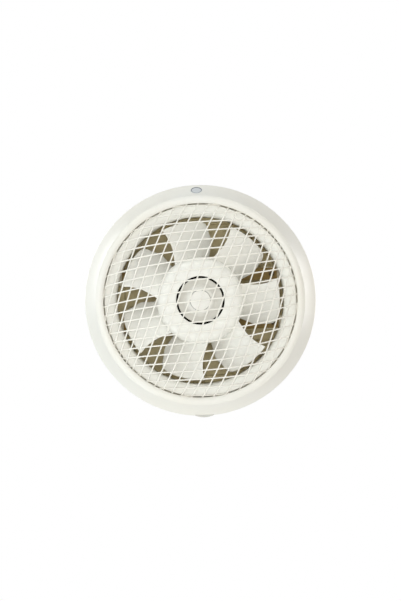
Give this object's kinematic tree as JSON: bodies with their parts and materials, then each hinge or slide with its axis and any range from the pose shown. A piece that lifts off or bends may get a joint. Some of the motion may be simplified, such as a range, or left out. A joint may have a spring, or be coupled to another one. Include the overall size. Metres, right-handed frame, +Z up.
{
  "type": "axial wall fan",
  "caption": "Round wall fan: bulged diamond-net guard in a bezel, impeller on a motor held by straps in a duct sleeve, and a flap shutter at the back.",
  "frame": {"origin": "on the fan axis in the wall plane, at the centre of the wall screw circle", "axes": "+Y from the room into the wall along the fan axis, +Z up, +X right seen from the room"},
  "size_m": [0.29, 0.1994, 0.2919],
  "materials": {
    "bezel_plastic": "cream-white moulded plastic, semi-gloss",
    "badge_plate": "plain pale disc with a grey edge",
    "net_coat": "cream coating on the bars",
    "hidden_plastic": "plain moulded plastic",
    "zinc_steel": "zinc plated",
    "bell_plastic": "cream-white moulded plastic, semi-gloss",
    "sleeve_plastic": "beige moulded plastic, fine grain",
    "gasket_foam": "closed-cell foam",
    "inlet_grey": "pale grey moulded plastic",
    "terminal_brass": "turned brass",
    "capacitor_case": "cast resin box",
    "lead_sheath": "flexible sheath",
    "black_rubber": "black rubber",
    "strap_paint": "brown painted steel strip",
    "motor_case": "dark painted cups",
    "polished_steel": "ground steel",
    "lamination": "stacked sheet",
    "winding_copper": "varnished copper",
    "cage_aluminium": "cast aluminium",
    "impeller_plastic": "white moulded plastic, glossy",
    "cap_satin": "satin pale grey",
    "button_gloss": "white, glossy",
    "flap_plastic": "olive-beige moulded plastic",
    "link_plastic": "olive-beige moulded plastic"
  },
  "bodies": {
    "casing": {"front_bezel": "bezel_plastic", "badge_blank": "badge_plate", "mesh_grille": "net_coat", "grille_retainer": "hidden_plastic", "terminal_block": "hidden_plastic", "terminal_cover": "hidden_plastic", "retainer_screws": "zinc_steel", "strap_screws": "zinc_steel", "motor_bolts": "zinc_steel", "motor_nuts": "zinc_steel", "shutter_screws": "zinc_steel", "capacitor_clip": "zinc_steel", "bell_mouth": "bell_plastic", "duct_sleeve": "sleeve_plastic", "shutter_frame": "sleeve_plastic", "wall_gasket": "gasket_foam", "cord_inlet": "inlet_grey", "terminal_screws": "terminal_brass", "run_capacitor": "capacitor_case", "motor_lead": "lead_sheath", "lead_grommet": "black_rubber", "motor_strap_upper": "strap_paint", "motor_strap_lower": "strap_paint", "motor_front_shell": "motor_case", "motor_rear_shell": "motor_case", "front_bearing": "polished_steel", "rear_bearing": "polished_steel", "stator_core": "lamination", "stator_windings": "winding_copper"},
    "rotor": {"shaft": "polished_steel", "drive_pin": "polished_steel", "rotor_core": "lamination", "rotor_cage": "cage_aluminium", "shaft_spacers": "polished_steel", "impeller": "impeller_plastic", "lock_washer": "zinc_steel", "retaining_nut": "zinc_steel", "spinner_cap": "cap_satin", "spinner_button": "button_gloss", "spinner_seal": "black_rubber"},
    "shutter_flap_1": {"shutter_flap_1": "flap_plastic"},
    "shutter_flap_2": {"shutter_flap_2": "flap_plastic"},
    "shutter_flap_3": {"shutter_flap_3": "flap_plastic"},
    "shutter_flap_4": {"shutter_flap_4": "flap_plastic"},
    "tie_bar": {"tie_bar": "link_plastic"}
  },
  "joints": [
    {"name": "rotor_spin", "type": "hinge", "parent": "casing", "child": "rotor", "pos_m": [0, 0, 0], "axis": [0, 1, 0], "continuous": true},
    {"name": "flap_1_hinge", "type": "hinge", "parent": "casing", "child": "shutter_flap_1", "pos_m": [0, 0.1238, 0.0944], "axis": [1, 0, 0], "range_deg": [0, 75]},
    {"name": "flap_2_hinge", "type": "hinge", "parent": "casing", "child": "shutter_flap_2", "pos_m": [0, 0.1238, 0.0454], "axis": [1, 0, 0], "range_deg": [0, 75]},
    {"name": "flap_3_hinge", "type": "hinge", "parent": "casing", "child": "shutter_flap_3", "pos_m": [0, 0.1238, -0.0036], "axis": [1, 0, 0], "range_deg": [0, 75]},
    {"name": "flap_4_hinge", "type": "hinge", "parent": "casing", "child": "shutter_flap_4", "pos_m": [0, 0.1238, -0.0526], "axis": [1, 0, 0], "range_deg": [0, 75]},
    {"name": "tie_bar_pivot", "type": "hinge", "parent": "shutter_flap_1", "child": "tie_bar", "pos_m": [0.0964, 0.1318, 0.0844], "axis": [1, 0, 0], "range_deg": [-75, 0]}
  ],
  "couplings": [
    {"joint": "flap_2_hinge", "follows": "flap_1_hinge", "ratio": 1},
    {"joint": "flap_3_hinge", "follows": "flap_1_hinge", "ratio": 1},
    {"joint": "flap_4_hinge", "follows": "flap_1_hinge", "ratio": 1},
    {"joint": "tie_bar_pivot", "follows": "flap_1_hinge", "ratio": -1}
  ]
}
